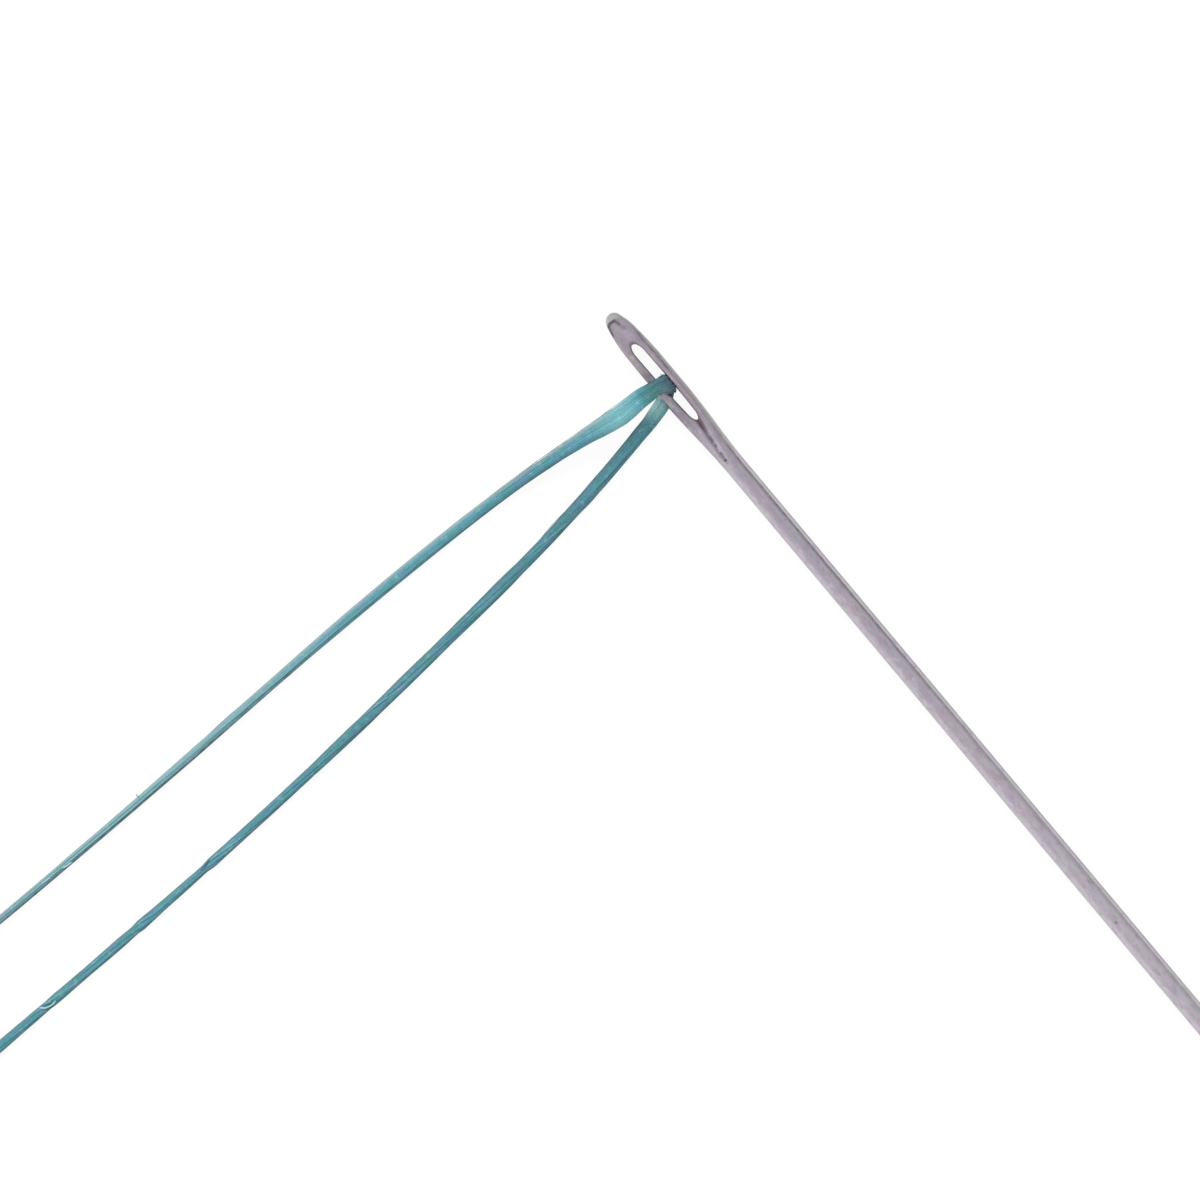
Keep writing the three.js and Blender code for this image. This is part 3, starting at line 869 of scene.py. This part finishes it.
def toLine(x, y, a, b):  # distance from a straight stroke between two places
    dx, dy = b[0] - a[0], b[1] - a[1]
    along = (((x - a[0]) * dx + (y - a[1]) * dy) / (dx * dx + dy * dy)).most(0.0).least(1.0)
    return ((x - a[0] - along * dx) ** 2.0 + (y - a[1] - along * dy) ** 2.0) ** 0.5


def makePlate():
    material, maker, shader = newMaterial("nickelPlate", {"Metallic": 1.0, "IOR": 2.0})
    x, y, z = maker.node("ShaderNodeTexCoord", None, None, "Object").parts()
    place, side, height = x * metre + needle["length"] / 2, y * metre, z * metre
    wider = (needle["headWidth"] - needle["shaft"]) / 2
    halfWidth = needle["headWidth"] / 2 - wider * place.step(*needle["headFade"])

    def grain(lengthwise, across, detail=2.0, roughness=0.5, shift=0.0):  # noise drawn out along the wire
        spot = maker.vector(place * lengthwise + shift, side * across, height * across)
        return maker.noise(spot, 1.0, detail, roughness)

    drawn = grain(1.1, 26.0, 3.0, 0.6)
    mottle = grain(1.6, 5.0)
    cloud = grain(1.2, 3.0, shift=40.0)
    grit = grain(9.0, 24.0, roughness=0.7)
    blot = grain(4.0, 8.0, roughness=0.6)
    colour = maker.blend((mottle - 0.48).step(0.0, 0.16), plate["lilac"], plate["rose"])

    def tint(mask, name):
        nonlocal colour
        colour = maker.blend(mask, colour, plate[name])

    head = 1 - place.step(2.8, 4.2)
    tint((cloud - 0.48).step(0.0, 0.16) * (1 - head * 0.6), "blue")
    tint(place.step(3.0, 22.0) * 0.7, "paleShaft")  # paler down the shaft
    # darker over the −y half of the head
    tint(head * (0.1 - side).step(0.1, 0.35) * 0.75, "headDarkerHalf")
    # painted shade on the −y side of the eye, darkest beside the fold
    wallShade = place.step(1.3, 1.65) * (1 - place.step(2.8, 3.6)) * (0 - side).step(0.08, 0.2)
    tint(wallShade * (0.30 + (place - 1.62).bell(0.2) * 0.3), "line")
    lineSide = 0.70 - 0.16 * place.step(2.5, 4.6)
    reflectedBand = (side / halfWidth - lineSide).step(0.0, 0.12)
    tint(reflectedBand * 0.85, "edge")  # painted reflection: a pale band along one edge
    shaft = place.step(3.6, 5.0)  # painted reflections: light and dark bands along the round shaft
    tint(shaft * (side + 0.20).bell(0.08) * 0.6, "bright")
    tint(shaft * (side + 0.085).bell(0.09) * 0.55, "dull")
    tint(shaft * (side - 0.055).bell(0.06) * 0.4, "bright")
    tint(shaft * (side - 0.177).bell(0.04) * (grit * 2.4 - 0.3).least(1.0), "bright")
    # painted reflection: lighter down the middle past 10 mm, and a dark line by one rim
    tint(place.step(10.0, 18.0) * (side - 0.03).bell(0.16) * 0.35, "bright")
    tint(shaft * side.step(0.195, 0.222) * (grit + 0.35).least(1.0), "dull")
    tint((blot - 0.52).step(0.0, 0.16) * 0.50, "dull")
    tint((0.47 - blot).step(0.0, 0.16) * 0.45, "bright")
    nose = (1 - place.step(0.13, 0.24)) * (1 - side.step(0.05, 0.2) * 0.25)
    tint(nose, "tip")
    tint((grit - 0.55).step(0.0, 0.25) * 0.45, "line")

    # a thin dark line runs along the same edge and dies out down the shaft
    lineAt = side - halfWidth * (lineSide + (mottle - 0.5) * 0.10 + (grit - 0.5) * 0.10)
    edgeLine = lineAt.bell(0.034 + head * 0.014) * (grit * 3.0 - 0.75).most(0.35 + head * 0.1).least(1.0)
    edgeLine = edgeLine * place.step(0.35, 0.8) * (1 - place.step(7.0, 15.0) * 0.85)
    edgeLine = edgeLine * (1 - place.step(1.7, 2.1) * (1 - place.step(3.8, 4.4)) * 0.6)

    # dark polish residue and painted shade in the gutter, round the eye and at the edge of the stamped face
    gutterAt = side - (gutterSide(place) + (drawn - 0.5) * 0.04)
    gutter = gutterAt.bell(0.115 - place.step(3.15, 3.5) * 0.07)
    gutter = gutter * place.step(2.95, 3.1) * (1 - place.step(4.2, 4.36))
    smudge = gutterAt.bell(0.12) * place.step(3.0, 3.1) * (1 - place.step(3.2, 3.5))
    spots = maker.noise(maker.vector(place * 7.0, 3.0, 0.0), 1.0, 1.0).step(0.40, 0.58)
    gutter = gutter * (0.55 - place.step(3.35, 3.7) * (0.35 - spots * 0.45))
    pastEnd = ((1.13 - place) * 0.437).most((place - 2.5) * 0.197).most(0.0)
    eyeSide = side - needle["eyeShift"] - (place - 2.0) * needle["eyeLean"]
    slot = (pastEnd * pastEnd + eyeSide * eyeSide) ** 0.5 - 0.118
    eyeEdge = (slot - 0.005).bell(0.05) * (0.4 + mottle * 0.6) * (1 - side.step(0.0, 0.1) * 0.4)
    atX, atY = place + (grit - 0.5) * 0.05, side + (drawn - 0.5) * 0.03
    dirtAndShade = gutter.most(eyeEdge * 0.75)
    for start, end, width, strength in plate["pressLines"]:
        dirtAndShade = dirtAndShade.most(toLine(atX, atY, start, end).bell(width) * strength)
    for spot, width, strength, squeeze in plate["marks"]:
        dirtAndShade = dirtAndShade.most(near(place, side, spot, width, squeeze) * strength)
    tint(edgeLine * 0.75, "line")
    tint(dirtAndShade.least(1.0), "residueAndShade")
    tint(smudge * (0.45 + mottle * 0.5), "brown")
    maker.plug(shader.inputs["Base Color"], colour)
    maker.plug(shader.inputs["Roughness"], plate["roughness"] - 0.08 + drawn * 0.16 + dirtAndShade * 0.25)
    bump = maker.node(
        "ShaderNodeBump", None, {"Height": drawn - edgeLine * 0.6, "Strength": 0.3, "Distance": 0.000006}
    )
    maker.plug(shader.inputs["Normal"], bump)
    return material


nickelPlate = makePlate()


# needle: shape
def needleStations():
    eyeEnd = needle["eyeStart"] + needle["eyeLength"]
    cap = 1 - np.cos(np.linspace(0, math.pi / 2, 11))
    stations = np.concatenate([
        needle["noseEnd"] * (1 - np.cos(np.linspace(0, math.pi / 2, 14))),
        np.linspace(needle["noseEnd"], needle["eyeStart"], 12),
        needle["eyeStart"] + needle["eyeTopLength"] * cap,
        np.linspace(needle["eyeStart"] + needle["eyeTopLength"], eyeEnd - needle["eyeEndLength"], 18),
        eyeEnd - needle["eyeEndLength"] * cap,
        np.linspace(eyeEnd, needle["headEnd"], 34),
        np.linspace(needle["headEnd"], needle["length"] - needle["pointLength"], 30),
        needle["length"] - needle["pointLength"] * (1 - np.linspace(0, 1, 16)) ** 1.5,
        needle["length"] - needle["tipRound"] * (1 - np.sin(np.linspace(0, math.pi / 2, 5))),
    ])
    return np.unique(np.round(stations, 5))


def needleSpine():
    place = needleStations()
    blendIn = fade(place, *needle["headFade"])
    nose = (1 - (1 - np.minimum(place / needle["noseLength"], 1)) ** 2) ** needle["noseBluntness"]
    corner = np.maximum(1 - place / needle["noseRoundLength"], 0)
    nose *= 1 - needle["noseRound"] * corner**2
    pointed = np.maximum(place - needle["length"] + needle["pointLength"], 0) / needle["pointLength"]
    taper = 1 - (1 - needle["pointTip"] / needle["shaft"]) * pointed**1.25
    tip = np.sqrt(np.clip((needle["length"] - place) / needle["tipRound"], 0, 1))
    ends = nose * taper * np.where(place > needle["length"] - needle["tipRound"], tip, 1.0)
    radius = needle["shaft"] / 2
    halfWidth = (needle["headWidth"] / 2 * (1 - blendIn) + radius * blendIn) * ends
    halfThick = (needle["headThickness"] / 2 * (1 - blendIn) + radius * blendIn) * ends
    eyeEnd = needle["eyeStart"] + needle["eyeLength"]
    toTop = (needle["eyeStart"] + needle["eyeTopLength"] - place) / needle["eyeTopLength"]
    toEnd = (place - eyeEnd + needle["eyeEndLength"]) / needle["eyeEndLength"]
    pastEnd = np.maximum(np.maximum(toTop, toEnd), 0)
    narrow = np.maximum(place - needle["eyeTaperStart"], 0) / (eyeEnd - needle["eyeTaperStart"])
    eye = needle["eyeWidth"] / 2 * (1 - needle["eyeTaper"] * narrow**2)
    eye *= np.sqrt(np.clip(1 - pastEnd**2, 0, 1))
    eye[eye < 1e-4] = 0.0
    points = np.stack([place, np.zeros_like(place), np.zeros_like(place)], axis=1)
    return lineMesh("needleSpine", points * mm, {
        "halfWidth": halfWidth * mm, "halfThick": halfThick * mm, "eye": eye * mm,
        "squareness": needle["squareness"] + (2 - needle["squareness"]) * blendIn,
    })


def makeNeedleTree():
    tree, maker, given = newTree("needleSkin", {
        "Top Columns": "Int", "Wall Columns": "Int", "Eye Rounding": "Float", "Gutter Depth": "Float",
        "Gutter Width": "Float", "Press Depth": "Float", "Eye Shift": "Float", "Eye Lean": "Float",
        "Shoulder": "Float", "Material": "Material",
    })
    spine = given["Geometry"]
    count = maker.node("GeometryNodeAttributeDomainSize", {"component": "MESH"}, {"Geometry": spine})
    rows = given["Top Columns"] + given["Wall Columns"]
    sheet = maker.node("GeometryNodeMeshGrid", None, {
        "Size X": 1.0, "Size Y": 1.0, "Vertices X": count, "Vertices Y": rows + 1,
    })
    u, v = maker.position().parts()[:2]
    number = maker.sums("ROUND", (u + 0.5) * (count - 1))

    def sampled(value, kind="FLOAT"):  # the spine's value at this station
        settings = {"data_type": kind, "domain": "POINT"}
        sockets = {"Geometry": spine, "Value": value, "Index": number}
        return maker.node("GeometryNodeSampleIndex", settings, sockets)

    place = sampled(maker.position(), "FLOAT_VECTOR").parts()[0]
    labels = ("halfWidth", "halfThick", "eye", "squareness")
    width, thick, eye, square = (sampled(maker.named(label)) for label in labels)
    column = (v + 0.5) * rows
    over = (column / given["Top Columns"]).least(1.0)  # over the top, from the outer edge
    down = ((column - given["Top Columns"]) / given["Wall Columns"]).most(0.0)  # then down the eye's wall
    edge = given["Eye Rounding"].least(eye * 0.7)
    rim = eye + edge
    y = rim + (width - rim) * (over * (math.pi / 2)).cos()
    top = thick * (1 - (y / width).least(1.0) ** square).most(0.0) ** (1 / square)
    turn = (down / 0.6).least(1.0) * (math.pi / 2)
    y = y - edge * turn.sin()
    z = (top - edge * (1 - turn.cos())) * (1 - ((down - 0.6) / 0.4).most(0.0))
    quarter = maker.store(sheet, "closed", (eye < 1e-9) * (down > 0.01))
    quarter = maker.move(quarter, {"Position": maker.vector(place, y, z)})

    def mirrored(geometry, scale):
        other = maker.node("GeometryNodeTransform", None, {"Geometry": geometry, "Scale": scale})
        other = maker.node("GeometryNodeFlipFaces", None, {"Mesh": other})
        return maker.node("GeometryNodeJoinGeometry", None, {"Geometry": [geometry, other]})

    half = mirrored(quarter, (1, -1, 1))

    # gutters and the edge of the stamped face, pressed in from above
    x, y, z = maker.position().parts()
    x, y, z = x * metre, y * metre, z * metre
    groove = (y - gutterSide(x)).bell(given["Gutter Width"] * metre)
    groove = groove * x.step(2.9, 3.25) * (1 - x.step(4.05, 4.4))
    pressed = (x - 0.175 - 2.0 * (y + 0.07) * (y + 0.07)).step(-0.03, 0.06)
    pressed = pressed * (1 - y.step(-0.06, 0.12)) * (1 - x.step(0.7, 2.2))
    sunk = (groove * given["Gutter Depth"] + pressed * given["Press Depth"]) * z.step(0.06, 0.12)
    aside = (given["Eye Shift"] + (x - 2.0) * given["Eye Lean"]) * x.step(0.4, 0.9) * (1 - x.step(3.05, 3.6))
    aside = aside * (1 - (y / (needle["headWidth"] / 2)) ** 2.0).most(0.0)
    aside = aside - given["Shoulder"] * (x - 0.22).bell(0.20) * y.step(0.0, 0.15)
    half = maker.move(half, {"Offset": maker.vector(0.0, aside, 0 - sunk)})
    whole = mirrored(half, (1, 1, -1))
    shut = {"Geometry": whole, "Selection": maker.named("closed") > 0.3}
    whole = maker.node("GeometryNodeDeleteGeometry", {"domain": "FACE"}, shut)
    whole = maker.node("GeometryNodeMergeByDistance", None, {"Geometry": whole, "Distance": 2e-7})
    endTree(maker, whole, given["Material"])
    return tree


def makeNeedle():
    piece = runTree("steelNeedle", needleSpine(), makeNeedleTree(), {
        "Top Columns": needle["topColumns"], "Wall Columns": needle["wallColumns"],
        "Eye Rounding": needle["eyeRounding"] * mm, "Gutter Depth": needle["gutterDepth"] * mm,
        "Gutter Width": needle["gutterWidth"] * mm, "Press Depth": needle["pressDepth"] * mm,
        "Eye Shift": needle["eyeShift"] * mm, "Eye Lean": needle["eyeLean"] * mm,
        "Shoulder": needle["shoulder"] * mm, "Material": nickelPlate,
    })
    lift = needle["headHeight"] + needle["bundlePlace"] * needle["tilt"]
    place = Matrix.Translation(Vector((-needle["length"] / 2, 0, lift)) * mm)
    piece.data.transform(place @ Matrix.Rotation(math.asin(needle["tilt"]), 4, "Y"))
    return piece


steelNeedle = makeNeedle()
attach(steelNeedle, "needle")
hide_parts("needle")
print("needle: %d faces" % len(steelNeedle.data.polygons))


# light and floor
studio = {  # distances in metres
    "sky": 0.63,
    "skyLean": -0.16,  # brighter on the thread's side
    "skyBow": 0.04,
    "keyFrom": (-0.75, 0.12, 0.66),
    "keyDistance": 0.40,
    "keySize": 0.25,
    "keyWatts": 1.0,
    "floor": (0.12, 0.12, 0.12),
    "floorReach": 3.0,
    "floorDrop": -0.000002,
    "floorSeen": 0.90,
    "floorMirrored": 0.62,
}


def makeWorld():
    world = bpy.data.worlds.new("studioWorld")
    world.use_nodes = True
    bpy.context.scene.world = world
    world.node_tree.nodes.clear()
    maker = Sock(world.node_tree)
    y = maker.node("ShaderNodeTexCoord", None, None, "Generated").parts()[1]
    sky = studio["sky"] + y * studio["skyLean"] + y * y * studio["skyBow"]
    seen = maker.node("ShaderNodeLightPath", None, None, "Is Camera Ray")
    light = maker.node("ShaderNodeBackground", None, {"Color": (1, 1, 1), "Strength": sky + seen * (1 - sky)})
    maker.node("ShaderNodeOutputWorld", None, {"Surface": light})


def makeKey():
    lamp = bpy.data.lights.new("keyPanel", "AREA")
    lamp.shape, lamp.size, lamp.energy = "SQUARE", studio["keySize"], studio["keyWatts"]
    panel = bpy.data.objects.new("keyPanel", lamp)
    middle = Vector((*view["centre"], 0)) * mm
    away = Vector(studio["keyFrom"]).normalized()
    panel.location = middle + away * studio["keyDistance"]
    panel.rotation_euler = away.to_track_quat("Z", "Y").to_euler()
    panel.visible_glossy = False  # the steel mirrors the sky and the table only
    bpy.context.scene.collection.objects.link(panel)


def makeFloor():
    mesh = bpy.data.meshes.new("table")
    reach, drop = studio["floorReach"], studio["floorDrop"]
    corners = [(-reach, -reach, drop), (reach, -reach, drop), (reach, reach, drop), (-reach, reach, drop)]
    mesh.from_pydata(corners, [], [(0, 1, 2, 3)])
    table = bpy.data.objects.new("table", mesh)
    bpy.context.scene.collection.objects.link(table)
    material, maker, shader = newMaterial("paleTable", {"Roughness": 0.9, "Specular IOR Level": 0.0})
    shader.inputs["Base Color"].default_value = (*studio["floor"], 1.0)
    path = maker.node("ShaderNodeLightPath", None, None, "Is Camera Ray")
    seen = path.most(path.of("Is Transmission Ray")) * studio["floorSeen"]
    seen = seen.most(path.of("Is Glossy Ray") * studio["floorMirrored"])
    glow = maker.node("ShaderNodeEmission", None, {"Color": (1.0, 1.0, 1.0), "Strength": seen})
    both = maker.node("ShaderNodeAddShader", None, {0: Sock(maker.tree, shader.outputs[0]), 1: glow})
    maker.plug(material.node_tree.nodes["Material Output"].inputs["Surface"], both)
    mesh.materials.append(material)


makeWorld()
makeKey()
makeFloor()
bpy.context.scene.view_settings.view_transform = "Standard"
print("light and table ready")
